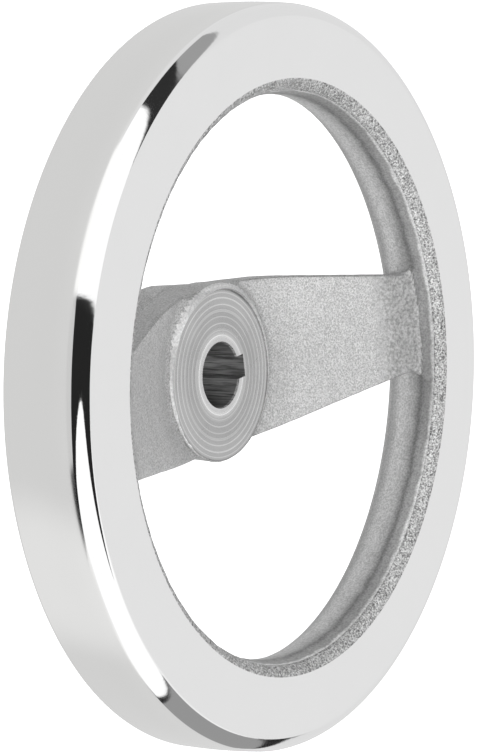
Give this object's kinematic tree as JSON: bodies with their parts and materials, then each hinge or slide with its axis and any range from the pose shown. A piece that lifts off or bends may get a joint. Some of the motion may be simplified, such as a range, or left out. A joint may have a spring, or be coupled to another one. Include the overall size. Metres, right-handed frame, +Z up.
{
  "type": "machine handwheel",
  "caption": "Dished handwheel in cast aluminium with a solid turned rim, opposed tapering spokes and an offset hub with a keyed bore, for turning a machine shaft by hand.",
  "frame": {"origin": "on the bore axis, halfway along the hub", "axes": "+Y along the bore axis from the turned faces towards the machine, X along the spokes with the keyway on the +X side, +Z up"},
  "size_m": [0.16, 0.0399, 0.16],
  "materials": {
    "casting": "turned and polished rim and hub face, fine blasted cast surface on the spokes, hub side and inside of the rim"
  },
  "bodies": {
    "root": {"handwheel": "casting"}
  },
  "joints": []
}
